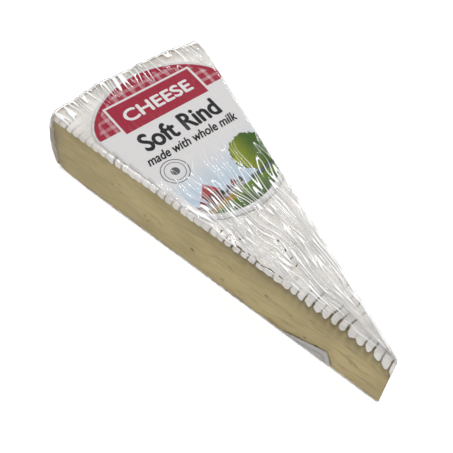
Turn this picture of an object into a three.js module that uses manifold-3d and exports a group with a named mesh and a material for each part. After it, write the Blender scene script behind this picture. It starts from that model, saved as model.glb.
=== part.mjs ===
// A wedge of soft white-rind cheese, cut from a flat wheel and sold in clear film.
//
// The wedge lies flat with its rind up. Its tip, which was the centre of the wheel, points along +X,
// and its outer rim faces -X. A front label lies on the upper rind and turns down over one cut edge.
// A base label sticks to the underside near the tip, and its edges turn up over both cut faces.
// The film goes round all of it and its two edges meet in a seam along the underside.
//
// Millimetres, +Z up. The origin is at the centre of the underside of the film.

import * as THREE from "three";
import { mergeVertices } from "three/addons/utils/BufferGeometryUtils.js";
import Module from "manifold-3d";

const wasm = await Module();
wasm.setup();

// The cheese.
const WEDGE_ANGLE = 25.6; // degrees between the two cut faces
const RIM_RADIUS = 165.5; // of the wheel, where its rim meets the rounded upper and lower edges
const RIM_BULGE = 1.6; // how far the rim swells out at half height
const CHEESE_HEIGHT = 32.9;
const TIP_RADIUS = 0.4; // rounding of the upright edge at the tip
const CORNER_RADIUS = 2.5; // rounding of the two upright edges at the rim
const CUT_EDGE_RADIUS = 0.3; // rounding along the upper and lower cut edges
const RIM_EDGE_RADIUS = 4; // rounding of the wheel's upper and lower rim

// The wrapping.
const FILM_THICKNESS = 0.2;
const LABEL_THICKNESS = 0.2;
const CLEARANCE = 0.3; // between one piece and the next
const SEAM_GAP = 0.8; // between the two edges of the film, under the wedge
const SEAM_TO_TIP = 24; // where the seam stops, from the tip
const SEAM_TO_RIM = 10; // and from the rim

// The front label, seen from above. Distances along the wedge are from the centre of the wheel.
const FRONT_LABEL_START = 77.8; // its round narrow end
const FRONT_LABEL_END = 161.3; // its wide end, near the rim
const FRONT_LABEL_NARROW = 44; // width across the narrow end
const FRONT_LABEL_WIDE = 65; // width across the wide end
const FRONT_LABEL_OFFSET = 2; // sideways from the middle of the wedge, so that it turns over one edge
const FRONT_LABEL_NARROW_ROUND = 12; // length of the curve at the narrow end
const FRONT_LABEL_WIDE_ROUND = 22; // and at the wide end

// The base label, a rectangle with one corner showing on the near cut face.
const BASE_LABEL_LENGTH = 68;
const BASE_LABEL_WIDTH = 34;
const BASE_LABEL_TURN = 8; // degrees from the middle line of the wedge
const BASE_LABEL_CORNER_ALONG = 23.8; // the corner, along the near cut edge from the wheel's centre
const BASE_LABEL_CORNER_OUT = 9.5; // and how far it goes past that edge before it is turned up

const ARC_STEPS = 6; // for a small rounding
const RIM_STEPS = 16; // over the rim arc of the wedge
const WHEEL_SEGMENTS = 360;

const HALF_ANGLE = THREE.MathUtils.degToRad(WEDGE_ANGLE / 2);
const LABEL_IN = CLEARANCE;
const LABEL_OUT = LABEL_IN + LABEL_THICKNESS;
const FILM_IN = LABEL_OUT + CLEARANCE;
const FILM_OUT = FILM_IN + FILM_THICKNESS;
const TIP_SETBACK = TIP_RADIUS / Math.sin(HALF_ANGLE) - TIP_RADIUS; // from the wheel's centre to the tip
const RIM_REACH = RIM_RADIUS + RIM_BULGE;

// A closed three.js geometry as a manifold-3d solid.
function solidOf(geometry) {
  const bare = (geometry.index ? geometry.toNonIndexed() : geometry.clone())
    .deleteAttribute("normal")
    .deleteAttribute("uv");
  const merged = mergeVertices(bare, 1e-4);
  return new wasm.Manifold(
    new wasm.Mesh({
      numProp: 3,
      vertProperties: merged.attributes.position.array,
      triVerts: new Uint32Array(merged.index.array),
    }),
  );
}

// A manifold-3d solid as a three.js geometry.
function geometryOf(solid) {
  const mesh = solid.getMesh();
  const geometry = new THREE.BufferGeometry();
  geometry.setAttribute("position", new THREE.BufferAttribute(mesh.vertProperties, mesh.numProp));
  geometry.setIndex(new THREE.BufferAttribute(mesh.triVerts, 1));
  const faceted = geometry.toNonIndexed();
  faceted.computeVertexNormals();
  return faceted;
}

// The plan of the wedge, grown outwards by the same amount all round. The wheel's centre is the origin
// and the wedge lies towards -X. The roundings keep their centres, so that grown plans stay parallel.
function wedgePlan(grow) {
  const tipRadius = TIP_RADIUS + grow;
  const cornerRadius = CORNER_RADIUS + grow;
  const rimRadius = RIM_REACH + grow;
  const tipCentre = -TIP_RADIUS / Math.sin(HALF_ANGLE);
  const cornerReach = RIM_REACH - CORNER_RADIUS;
  const cornerTurn = HALF_ANGLE - Math.asin(CORNER_RADIUS / cornerReach);
  const cornerX = -cornerReach * Math.cos(cornerTurn);
  const cornerY = cornerReach * Math.sin(cornerTurn);
  const right = Math.PI / 2;
  const plan = new THREE.Shape();
  plan.absarc(tipCentre, 0, tipRadius, -right + HALF_ANGLE, right - HALF_ANGLE, false);
  plan.absarc(cornerX, cornerY, cornerRadius, right - HALF_ANGLE, Math.PI - cornerTurn, false);
  plan.absarc(0, 0, rimRadius, Math.PI - cornerTurn, Math.PI + cornerTurn, false);
  plan.absarc(cornerX, -cornerY, cornerRadius, Math.PI + cornerTurn, 3 * right + HALF_ANGLE, false);
  return plan;
}

// The plan as points: more on the rim arc than on the small roundings.
function planPoints(plan) {
  const found = [];
  plan.curves.forEach((curve) => {
    const steps = curve.type === "LineCurve" ? 1 : curve.xRadius > RIM_RADIUS ? RIM_STEPS : ARC_STEPS;
    curve.getPoints(steps).forEach((point) => {
      const last = found[found.length - 1];
      if (!last || last.distanceTo(point) > 1e-4) found.push(point);
    });
  });
  if (found[0].distanceTo(found[found.length - 1]) < 1e-4) found.pop();
  return found;
}

// The whole wheel, grown by the same amount, with its swollen rim. Its underside is at z = 0.
function wheelSolid(grow) {
  const edge = RIM_EDGE_RADIUS + grow;
  const centre = RIM_RADIUS - RIM_EDGE_RADIUS;
  const low = RIM_EDGE_RADIUS;
  const high = CHEESE_HEIGHT - RIM_EDGE_RADIUS;
  const side = RIM_RADIUS + grow;
  const half = new THREE.Path();
  half.moveTo(0, -grow);
  half.lineTo(centre, -grow);
  half.absarc(centre, low, edge, -Math.PI / 2, 0, false);
  half.quadraticCurveTo(side + 2 * RIM_BULGE, (low + high) / 2, side, high);
  half.absarc(centre, high, edge, 0, Math.PI / 2, false);
  half.lineTo(0, CHEESE_HEIGHT + grow);
  const wheel = new THREE.LatheGeometry(half.getPoints(ARC_STEPS), WHEEL_SEGMENTS);
  return solidOf(wheel.rotateX(Math.PI / 2));
}

// The wedge of cheese, grown by the same amount all round.
function wedgeSolid(grow) {
  const edge = CUT_EDGE_RADIUS + grow;
  const plan = new THREE.Shape(planPoints(wedgePlan(grow)));
  const block = new THREE.ExtrudeGeometry(plan, {
    depth: CHEESE_HEIGHT - 2 * CUT_EDGE_RADIUS,
    bevelEnabled: true,
    bevelThickness: edge,
    bevelSize: edge,
    bevelOffset: -edge,
    bevelSegments: 3,
  });
  block.translate(0, 0, CUT_EDGE_RADIUS);
  return solidOf(block).intersect(wheelSolid(grow));
}

// A plate of that outline between two heights.
function plate(outline, low, high) {
  const made = new THREE.ExtrudeGeometry(outline, { depth: high - low, bevelEnabled: false, curveSegments: 12 });
  return made.translate(0, 0, low);
}

// The plate turned about one of the wedge's four long cut edges, so that what stuck out past that edge
// lies on the cut face. side is +1 for the far cut face and -1 for the near one, and turn is +1 where
// the edge is an upper one and -1 where it is a lower one.
function turnedOver(flat, side, height, turn) {
  const along = new THREE.Vector3(-Math.cos(HALF_ANGLE), side * Math.sin(HALF_ANGLE), 0);
  const about = new THREE.Matrix4().makeRotationAxis(along, (side * turn * Math.PI) / 2);
  const down = new THREE.Matrix4().makeTranslation(0, 0, -height);
  const up = new THREE.Matrix4().makeTranslation(0, 0, height);
  return flat.clone().applyMatrix4(up.multiply(about).multiply(down));
}

function frontLabelOutline() {
  const narrow = FRONT_LABEL_NARROW / 2;
  const wide = FRONT_LABEL_WIDE / 2;
  const middle = FRONT_LABEL_OFFSET;
  const straightStart = FRONT_LABEL_START + FRONT_LABEL_NARROW_ROUND;
  const straightEnd = FRONT_LABEL_END - FRONT_LABEL_WIDE_ROUND;
  const shape = new THREE.Shape();
  shape.moveTo(-FRONT_LABEL_START, middle);
  shape.bezierCurveTo(
    -FRONT_LABEL_START, middle + narrow / 2,
    -straightStart + FRONT_LABEL_NARROW_ROUND / 2, middle + narrow,
    -straightStart, middle + narrow,
  );
  shape.lineTo(-straightEnd, middle + wide);
  shape.bezierCurveTo(
    -straightEnd - FRONT_LABEL_WIDE_ROUND / 2, middle + wide,
    -FRONT_LABEL_END, middle + wide / 2,
    -FRONT_LABEL_END, middle,
  );
  shape.bezierCurveTo(
    -FRONT_LABEL_END, middle - wide / 2,
    -straightEnd - FRONT_LABEL_WIDE_ROUND / 2, middle - wide,
    -straightEnd, middle - wide,
  );
  shape.lineTo(-straightStart, middle - narrow);
  shape.bezierCurveTo(
    -straightStart + FRONT_LABEL_NARROW_ROUND / 2, middle - narrow,
    -FRONT_LABEL_START, middle - narrow / 2,
    -FRONT_LABEL_START, middle,
  );
  return shape;
}

function frontLabel(shell) {
  const reach = CUT_EDGE_RADIUS + LABEL_OUT;
  const top = CHEESE_HEIGHT;
  const flat = plate(frontLabelOutline(), top - CUT_EDGE_RADIUS, top + reach);
  const lip = turnedOver(flat, 1, top, 1);
  return shell.intersect(solidOf(flat).add(solidOf(lip)));
}

function baseLabelOutline() {
  const near = -HALF_ANGLE;
  const out = new THREE.Vector2(Math.sin(near), -Math.cos(near));
  const corner = new THREE.Vector2(-Math.cos(near), Math.sin(near))
    .multiplyScalar(BASE_LABEL_CORNER_ALONG)
    .addScaledVector(out, BASE_LABEL_CORNER_OUT);
  const turn = THREE.MathUtils.degToRad(BASE_LABEL_TURN);
  const length = new THREE.Vector2(-Math.cos(turn), Math.sin(turn)).multiplyScalar(BASE_LABEL_LENGTH);
  const width = new THREE.Vector2(Math.sin(turn), Math.cos(turn)).multiplyScalar(BASE_LABEL_WIDTH);
  return new THREE.Shape([
    corner,
    corner.clone().add(width),
    corner.clone().add(width).add(length),
    corner.clone().add(length),
  ]);
}

function baseLabel(shell) {
  const reach = CUT_EDGE_RADIUS + LABEL_OUT;
  const flat = plate(baseLabelOutline(), -reach, CUT_EDGE_RADIUS);
  const nearFlap = turnedOver(flat, -1, 0, -1);
  const farFlap = turnedOver(flat, 1, 0, -1);
  const cutter = solidOf(flat).add(solidOf(nearFlap)).add(solidOf(farFlap));
  return shell.intersect(cutter);
}

function wrapFilm() {
  const skin = wedgeSolid(FILM_OUT).subtract(wedgeSolid(FILM_IN));
  const length = RIM_REACH - SEAM_TO_RIM - TIP_SETBACK - SEAM_TO_TIP;
  const seam = new THREE.BoxGeometry(length, SEAM_GAP, 2 * FILM_OUT);
  seam.translate(-(TIP_SETBACK + SEAM_TO_TIP + length / 2), 0, -FILM_OUT);
  return skin.subtract(solidOf(seam));
}

function piece(name, solid, colour, roughness, extra = {}) {
  const material = new THREE.MeshStandardMaterial({ color: colour, roughness, metalness: 0, ...extra });
  const mesh = new THREE.Mesh(geometryOf(solid), material);
  mesh.name = name;
  return mesh;
}

const labelShell = wedgeSolid(LABEL_OUT).subtract(wedgeSolid(LABEL_IN));
const wedge = new THREE.Group();
wedge.add(
  piece("cheese_wedge", wedgeSolid(0), 0xe6dcb4, 0.6),
  piece("front_label", frontLabel(labelShell), 0xe8e6e3, 0.45),
  piece("base_label", baseLabel(labelShell), 0xc4c1bd, 0.7),
  piece("wrap_film", wrapFilm(), 0xf4f4f4, 0.08, { transparent: true, opacity: 0.2 }),
);
wedge.position.set((TIP_SETBACK + RIM_REACH) / 2, 0, FILM_OUT);

const part = new THREE.Group();
part.add(wedge);

export default part;
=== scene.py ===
"""A wedge of soft white-rind cheese, shrink-wrapped in clear film over two paper labels.

The wedge lies on its lower rind with its tip towards +X, as the loaded model does. Shapes are worked out in
millimetres and written to the meshes in metres. On a label, "along" is the distance from the wheel's centre
and "across" is the distance from the middle of the wedge, towards the cut face that the label turns over.
"""
import math

import bmesh
import bpy
import numpy as np
from bpy.props import FloatProperty, FloatVectorProperty, PointerProperty, StringProperty
from mathutils import Matrix, Vector, geometry, noise


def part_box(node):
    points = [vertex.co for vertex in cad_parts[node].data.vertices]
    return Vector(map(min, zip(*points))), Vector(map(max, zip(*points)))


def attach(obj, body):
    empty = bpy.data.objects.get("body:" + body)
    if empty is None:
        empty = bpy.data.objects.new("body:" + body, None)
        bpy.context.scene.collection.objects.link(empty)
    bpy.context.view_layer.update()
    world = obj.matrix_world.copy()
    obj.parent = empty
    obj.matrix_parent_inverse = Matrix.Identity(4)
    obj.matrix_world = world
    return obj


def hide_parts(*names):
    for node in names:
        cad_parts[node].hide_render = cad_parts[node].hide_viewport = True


bl_info = {
    "name": "Wrapped cheese wedge",
    "version": (1, 0, 0),
    "blender": (4, 5, 0),
    "location": "3D View > Sidebar > Cheese wedge",
    "description": "Makes a film-wrapped wedge of white-rind cheese, its labels and a plain stage",
    "category": "Add Mesh",
}

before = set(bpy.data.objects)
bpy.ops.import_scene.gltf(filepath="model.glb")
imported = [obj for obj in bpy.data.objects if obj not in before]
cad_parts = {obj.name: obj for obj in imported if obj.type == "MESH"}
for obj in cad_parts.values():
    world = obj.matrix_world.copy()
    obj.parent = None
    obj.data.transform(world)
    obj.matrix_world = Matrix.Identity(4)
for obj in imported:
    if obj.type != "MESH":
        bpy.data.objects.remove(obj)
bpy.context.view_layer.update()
BODY = "root"
MM = 0.001
# How far the loaded wedge's rim swells past its upright corners, in millimetres.
LOADED_BULGE = 1.6
# How far the floor lies under the object, in metres.
FLOOR_DROP = 0.0002


# ---------------------------------------------------------------------------------------------------------
# The sizes and colours that a user would change


def length(name, description, millimetres):
    return FloatProperty(name=name, description=description, default=millimetres * MM, unit="LENGTH",
                         precision=5)


def colour(name, description, rgb):
    return FloatVectorProperty(name=name, description=description, default=rgb, subtype="COLOR", size=3,
                               min=0.0, max=1.0)


class CheeseSettings(bpy.types.PropertyGroup):
    wedge_angle: FloatProperty(name="Wedge angle", description="Between the two cut faces",
                               default=math.radians(25.6), subtype="ANGLE")
    tip_radius: length("Tip radius", "Rounding of the upright edge at the loaded wedge's tip", 0.4)
    rim_bulge: length("Rim bulge", "How far the rim swells out at half height", 2.2)
    shoulder: length("Rim shoulder", "Rounding of the wheel's upper and lower rim", 2.6)
    skin: length("Skin", "How far the finished cheese stands outside the loaded wedge", 0.62)
    grid: length("Grid", "Size of the small faces that carry the surface detail", 0.55)
    rind: length("Rind thickness", "Height of the upper rind on the cut faces", 2.4)
    rib_pitch: length("Rib pitch", "Between the ribs that the draining mat leaves on the rind", 3.75)
    rib_depth: length("Rib depth", "Of the grooves between the ribs, at the cut edges", 0.75)
    rib_turn: FloatProperty(name="Rib turn", description="Turn of the ribs from straight across the wedge",
                            default=math.radians(10.4), subtype="ANGLE")
    paste_colour: colour("Paste", "Colour of the cut paste", (0.535, 0.435, 0.215))
    rind_colour: colour("Rind", "Colour of the white rind", (0.905, 0.875, 0.835))
    # The same colour also darkens the gaps between the rind's lobes, as painted shade.
    crust_and_gap_shade_colour: colour("Crust", "Colour of the rind's brown cracks", (0.19, 0.14, 0.08))
    rim_colour: colour("Rim edge", "Colour of the worn rind at the edges of the rim", (0.33, 0.265, 0.175))


class LabelSettings(bpy.types.PropertyGroup):
    narrow: length("Narrow end", "Width across the front label's narrow end", 44.0)
    wide: length("Wide end", "Width across the front label's wide end", 65.0)
    offset: length("Offset", "Sideways from the middle of the wedge", 2.0)
    narrow_round: length("Narrow round", "Length of the curve at the narrow end", 12.0)
    wide_round: length("Wide round", "Length of the curve at the wide end", 22.0)
    paper: length("Paper", "Thickness of the label paper", 0.1)
    lift: length("Lift", "Of the paper's outer face above the loaded cheese", 0.80)
    base_length: length("Base label length", "Of the plain label underneath", 68.0)
    base_width: length("Base label width", "Of the plain label underneath", 34.0)
    base_turn: FloatProperty(name="Base label turn", description="From the middle line of the wedge",
                             default=math.radians(8), subtype="ANGLE")
    base_corner_along: length("Base corner along", "The corner that shows, along the near cut edge", 23.8)
    base_corner_out: length("Base corner out", "How far the corner passes the near cut edge", 9.5)
    subject: StringProperty(name="Subject", description="The word on the red plaque", default="CHEESE")
    title: StringProperty(name="Title", description="Large black line", default="Soft Rind")
    note: StringProperty(name="Note", description="Small black line", default="made with whole milk")
    paper_colour: colour("Paper", "Colour of the label paper", (0.69, 0.68, 0.675))
    red: colour("Red", "Colour of the plaque and the check", (0.36, 0.012, 0.04))
    black: colour("Black", "Colour of the dark lettering", (0.012, 0.012, 0.014))


class FilmSettings(bpy.types.PropertyGroup):
    offset: length("Offset", "Of the film's outer face above the loaded cheese", 0.95)
    thickness: length("Thickness", "Of the film", 0.07)
    grid: length("Grid", "Size of the small faces that carry the wrinkles", 0.8)
    wrinkle: length("Wrinkle height", "Of the highest wrinkles", 0.26)
    seam_width: length("Seam width", "Of the overlap along the underside", 11.0)


class StageSettings(bpy.types.PropertyGroup):
    azimuth: FloatProperty(name="Azimuth", description="Of the camera, from -Y towards +X",
                           default=math.radians(46.557), subtype="ANGLE")
    elevation: FloatProperty(name="Elevation", description="Of the camera above the floor",
                             default=math.radians(55.301), subtype="ANGLE")
    roll: FloatProperty(name="Roll", description="Of the camera about its line of sight",
                        default=math.radians(6.548), subtype="ANGLE")
    distance: length("Distance", "From the camera to the point that it looks at", 395.66)
    target: FloatVectorProperty(name="Target", description="The point that the camera looks at", size=3,
                                default=(-0.01078, 0.00295, 0.0), subtype="XYZ", unit="LENGTH")
    lens: FloatProperty(name="Lens", description="Focal length on a 36 mm sensor", default=74.96,
                        unit="CAMERA")
    sky: FloatProperty(name="Sky", description="Brightness of the white room", default=0.42, min=0.0)


# ---------------------------------------------------------------------------------------------------------
# Where things are


class Plan:
    """The wheel's centre and the wedge's extent in millimetres, from the loaded cheese."""

    def __init__(self):
        settings = bpy.context.scene.wedge_cheese
        low, high = (np.array(corner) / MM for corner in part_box("cheese_wedge"))
        tip_radius = settings.tip_radius / MM
        self.half = settings.wedge_angle / 2
        self.centre = high[0] + tip_radius / math.sin(self.half) - tip_radius
        self.rim = self.centre - low[0]
        self.bottom, self.top = low[2], high[2]
        self.bulge = settings.rim_bulge / MM
        self.corner_rim = self.rim - LOADED_BULGE

    def inward(self, points):
        """How far each point lies inside the nearer cut face."""
        return (self.centre - points[:, 0]) * math.sin(self.half) - np.abs(points[:, 1]) * math.cos(self.half)

    def along(self, points):
        """How far each point lies from the wheel's centre, along the nearer cut face."""
        return (self.centre - points[:, 0]) * math.cos(self.half) + np.abs(points[:, 1]) * math.sin(self.half)

    def outward(self, points):
        """The level direction out of the nearer cut face, at each point."""
        sides = np.where(points[:, 1] < 0, -1.0, 1.0)
        ones = np.ones(len(points))
        return np.stack([ones * math.sin(self.half), sides * math.cos(self.half), 0 * ones], axis=1)

    def polar(self, points):
        """Distance from the wheel's axis, and the turn round it from the middle of the wedge."""
        back = self.centre - points[:, 0]
        return np.hypot(back, points[:, 1]), np.arctan2(points[:, 1], back)


def smooth(value, low, high):
    """0 below low, 1 above high and a smooth step between."""
    t = np.clip((value - low) / (high - low), 0, 1)
    return t * t * (3 - 2 * t)


def falling(value, reach):
    """1 up to 0, then a fall that is steep where reach is small."""
    return np.exp(-np.clip(value, 0, None) / reach)


def columns(x, y=0.0, z=0.0):
    """Points made from a list of numbers for each axis, or one number for all."""
    return np.stack([x, y + 0 * x, z + 0 * x], axis=1)


def noise_at(points, stretch, seed=0.0):
    """Smooth noise from -1 to 1, whose features are about as long as stretch, or as stretch on each axis."""
    places = (points / np.array(stretch) + seed).tolist()
    return np.array([noise.noise(place) for place in places])


def ridges_at(points, stretch, sharpness, seed=0.0):
    """Narrow ridges from 0 to 1, where the noise crosses zero."""
    return (1 - np.clip(np.abs(noise_at(points, stretch, seed)) * 2, 0, 1)) ** sharpness


def distance_to_line(points, start, end):
    """How far each point lies from a straight line between two level places."""
    start, end = np.array(start), np.array(end)
    step = end - start
    share = np.clip(((points[:, :2] - start) @ step) / (step @ step), 0, 1)
    return np.hypot(*(points[:, :2] - (start + share[:, None] * step)).T)


def points_of(piece):
    flat = np.empty(len(piece.data.vertices) * 3)
    piece.data.vertices.foreach_get("co", flat)
    return flat.reshape(-1, 3) / MM


def normals_of(piece):
    flat = np.empty(len(piece.data.vertices) * 3)
    piece.data.vertices.foreach_get("normal", flat)
    return flat.reshape(-1, 3)


def place_points(piece, points):
    piece.data.vertices.foreach_set("co", (points * MM).ravel())
    piece.data.update()


def give_values(piece, lists):
    """Keeps the numbers of each named list at the vertices, for the material to read."""
    for name, values in lists.items():
        kept = piece.data.attributes.new(name, "FLOAT", "POINT")
        kept.data.foreach_set("value", values.astype(np.float32))


# ---------------------------------------------------------------------------------------------------------
# Making pieces


def piece_from(bm, name):
    mesh = bpy.data.meshes.new(name)
    bm.to_mesh(mesh)
    bm.free()
    piece = bpy.data.objects.new(name, mesh)
    bpy.context.scene.collection.objects.link(piece)
    return piece


def apply_modifiers(piece):
    bpy.context.view_layer.update()
    finished = piece.evaluated_get(bpy.context.evaluated_depsgraph_get())
    mesh = bpy.data.meshes.new_from_object(finished)
    mesh.name = piece.name
    piece.modifiers.clear()
    piece.data = mesh


def thicken(piece, thickness):
    """Gives a sheet its thickness, inwards from its outer face."""
    wall = piece.modifiers.new("wall", "SOLIDIFY")
    wall.thickness = thickness
    wall.offset = -1
    apply_modifiers(piece)


def finish_piece(piece, material, slot, *nodes):
    """Gives the piece its material and smooth shading, puts it under the body and hides the loaded parts that
    it replaces.
    """
    piece.data.materials.clear()
    piece.data.materials.append(material)
    piece.data.shade_smooth()
    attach(piece, BODY)
    if nodes:
        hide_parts(*nodes)


def wedge_skin(name, plan, grow, tip, shoulder, corner, grid):
    """The wedge grown outwards by the same amount all round, as an even skin of small faces.

    The rim's arc is spun from one vertex, closed to the tip and extruded upwards, and its edges are rounded.
    """
    rim = plan.corner_rim + grow
    reach = plan.half + math.asin(grow / rim)
    axis = Vector((plan.centre, 0, plan.bottom - grow)) * MM
    bm = bmesh.new()
    first = bm.verts.new(axis + Vector((-math.cos(reach), -math.sin(reach), 0)) * rim * MM)
    bmesh.ops.spin(bm, geom=[first], cent=axis, axis=(0, 0, -1), angle=2 * reach, steps=48)
    apex = bm.verts.new(axis + Vector((grow / math.sin(plan.half), 0, 0)) * MM)
    bm.verts.ensure_lookup_table()
    base = bm.faces.new([v for v in bm.verts if v is not apex] + [apex])
    risen = bmesh.ops.extrude_face_region(bm, geom=[base])["geom"]
    rise = Vector((0, 0, plan.top - plan.bottom + 2 * grow)) * MM
    bmesh.ops.translate(bm, verts=[v for v in risen if isinstance(v, bmesh.types.BMVert)], vec=rise)
    bmesh.ops.recalc_face_normals(bm, faces=bm.faces)

    def upright(edge):
        return abs(edge.verts[0].co.z - edge.verts[1].co.z) > rise.z / 2

    def on_rim(edge, margin):
        return all((v.co - axis).xy.length > (rim - margin) * MM for v in edge.verts)

    def round_edges(edges, offset, segments):
        bmesh.ops.bevel(bm, geom=edges, offset=offset * MM, affect="EDGES", segments=segments, profile=0.5,
                        material=-1)

    def from_shoulder(edge):
        return not upright(edge) and on_rim(edge, corner + 1.0)

    round_edges([e for e in bm.edges if upright(e) and not on_rim(e, rim / 2)], tip / math.tan(plan.half), 4)
    corners = [e for e in bm.edges if upright(e) and on_rim(e, 1.0) and len(e.link_faces) == 2
               and e.calc_face_angle() > 0.5]
    round_edges(corners, corner, 4)
    round_edges([e for e in bm.edges if from_shoulder(e)], shoulder + grow, 6)
    piece = piece_from(bm, name)
    remesh = piece.modifiers.new("skin", "REMESH")
    remesh.mode = "VOXEL"
    remesh.voxel_size = grid
    apply_modifiers(piece)
    return piece


def push_from_axis(points, turn, push):
    """Moves points straight away from the wheel's axis."""
    points[:, 0] -= push * np.cos(turn)
    points[:, 1] += push * np.sin(turn)


def swell_rim(plan, points):
    """Moves the points of the rim outwards, most at half height, and gives it shallow dents."""
    radius, turn = plan.polar(points)
    middle = (plan.top + plan.bottom) / 2
    share = 1 - ((points[:, 2] - middle) / (plan.top - middle)) ** 2
    arc = columns(turn * radius, 0.0, points[:, 2])
    dents = 0.7 + 1.0 * noise_at(arc, (11, 1, 30), 3.3) + 0.6 * noise_at(arc, (3.5, 1, 12), 5.1)
    push = (plan.bulge * np.clip(share, 0, 1) + dents) * smooth(radius, plan.rim - 12, plan.corner_rim)
    push_from_axis(points, turn, push)


# ---------------------------------------------------------------------------------------------------------
# The cheese

# Small holes in the near cut face: distance along it, height above the underside, radius, in millimetres.
NEAR_HOLES = [(91, 10, 1.3), (75, 4.5, 1.0), (54, 15.5, 1.1), (116, 10, 0.8)]
SMALL_HOLES = 14
HOLE_STRETCH = 1.25
# Rows of short cracks on the upper rind, from one level place to another in millimetres.
DASH_ROWS = [((19.8, -1.0), (37.0, -3.2)), ((6.8, -16.0), (14.0, -12.0))]
DASH_REACH = 0.9
# Colours that go with the settings' ones.
# Worn grey bloom, also used for the painted shade in the valleys between the ribs.
WORN_AND_SHADED_BLOOM = (0.50, 0.465, 0.42)
BLOOM_SPECKS = (0.36, 0.31, 0.25)
PALE_STREAK = (0.60, 0.52, 0.31)
SCRAPE = (0.24, 0.18, 0.08)
# Painted shade for the paste under the rind and in its holes.
PAINTED_PASTE_SHADE = (0.15, 0.11, 0.05)


def rib_pattern(settings, points):
    """The rind's ribs: how rib-like each point is, how groove-like, its count of grooves and their strength.

    Every groove has its own strength, and those at the far cut edge are faint.
    """
    turn = settings.rib_turn
    pitch = settings.rib_pitch / MM
    wobble = 1.1 * noise_at(points, (9, 9, 30), 3.1) + 0.25 * noise_at(points, (2, 2, 4), 7.1)
    phase = (points[:, 0] * math.cos(turn) + points[:, 1] * math.sin(turn) + wobble) / pitch
    rib = 0.5 - 0.5 * np.cos(2 * math.pi * phase)
    number = np.round(phase)
    off_groove = np.abs(phase - number) * pitch
    sides = np.sign(points[:, 1])
    strength = 0.72 + 0.95 * noise_at(columns(number * 0.71, sides * 5), 1, 2.2)
    strength = np.clip(strength, 0.15, 1) * np.where(sides < 0, 1.0, 0.35)
    groove = strength * np.clip(1 - off_groove / (0.45 + 0.45 * strength), 0, 1)
    return rib, groove, phase, strength


def crack_zones(plan, points):
    """Where the rind has cracks: one zone along the near upper edge, and one round each row of dashes."""
    x, y = points[:, 0], points[:, 1]
    edge = smooth(plan.inward(points), 4.0, 2.5) * (y < 0)
    edge *= smooth(x, 9, 14) * (1 - smooth(x, 34, 43)) * smooth(points[:, 2], plan.top - 4, plan.top - 2)
    away = np.min([distance_to_line(points, start, end) for start, end in DASH_ROWS], axis=0)
    dashes = np.exp(-(away / DASH_REACH) ** 2) * smooth(points[:, 2], plan.top - 2, plan.top - 1)
    return edge, dashes


def hole_depths(skin, side, known, seed):
    """How deep the small holes of one cut face are at each point: the known ones, then some by chance."""
    chance = np.random.default_rng(seed)
    holes = known + [(chance.uniform(25, 158), chance.uniform(3, 26), chance.uniform(0.45, 0.9))
                     for _ in range(SMALL_HOLES)]
    depths = np.zeros(len(side))
    for place, level, size in holes:
        away = np.hypot((skin.along - place) / HOLE_STRETCH, skin.above_base - level)
        depths += np.where(side, 0.8 * size * smooth(size - away, 0, size), 0)
    return depths


class Skin:
    """Where each point of the cheese's skin lies on the wedge, and what it is part of, in millimetres."""

    def __init__(self, plan, settings, points):
        self.along, self.inward = plan.along(points), plan.inward(points)
        self.radius, self.turn = plan.polar(points)
        self.below_top = plan.top - points[:, 2]
        self.above_base = points[:, 2] - plan.bottom
        self.near_tip = 1 - smooth(self.along, 55, 95)
        self.toothed = 1 - smooth(self.along, 32, 56)
        self.rib, self.groove, self.phase, self.strength = rib_pattern(settings, points)
        self.rind = self.rind_depth(plan, settings, points)
        self.gap_fade = falling(self.inward, 2.4 + 3.0 * self.toothed) * smooth(-self.below_top, -12, -6)
        self.gap_fade *= 0.36 + 0.14 * self.near_tip + 0.5 * self.toothed

    def rind_depth(self, plan, settings, points):
        """How far each point lies inside the rind; below 0 it is paste.

        The upper rind hangs lower on the cut faces near the tip, in lobes that end between the grooves.
        """
        hang = settings.rind / MM + 6.5 * np.exp(-self.along / 9)
        hang += 0.9 * noise_at(columns(self.along), (15, 1, 1), 5.5)
        hang += self.rib * (0.4 + 1.0 * self.toothed)
        hang -= self.groove * (0.9 + 0.8 * self.near_tip + 2.4 * self.toothed)
        hang += (0.9 - 0.25 * self.toothed) * noise_at(points, (1.9, 1.9, 3.0), 6.5)
        base_rind = 0.6 + 0.3 * noise_at(points, 6, 1.7)
        rim_rind = self.radius - (plan.rim - 1.7 + 1.1 * noise_at(points, 5, 8.2))
        return np.maximum(np.maximum(hang - self.below_top, base_rind - self.above_base), rim_rind)

    def rim_wear(self, plan):
        """How worn and brown the rind is round the rim: most at its upper, lower and cut edges."""
        corner = np.maximum(smooth(-self.below_top, -4.5, -1.5), smooth(-self.above_base, -3.5, -0.5))
        corner = np.maximum(corner, smooth(-self.inward, -9.0, -2.5))
        wear = 0.3 * smooth(self.radius, plan.rim - 9, plan.rim - 4)
        wear += 0.5 * smooth(self.radius, plan.rim - 4.0, plan.rim - 1.5)
        return wear * (0.25 + 0.75 * corner)


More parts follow.
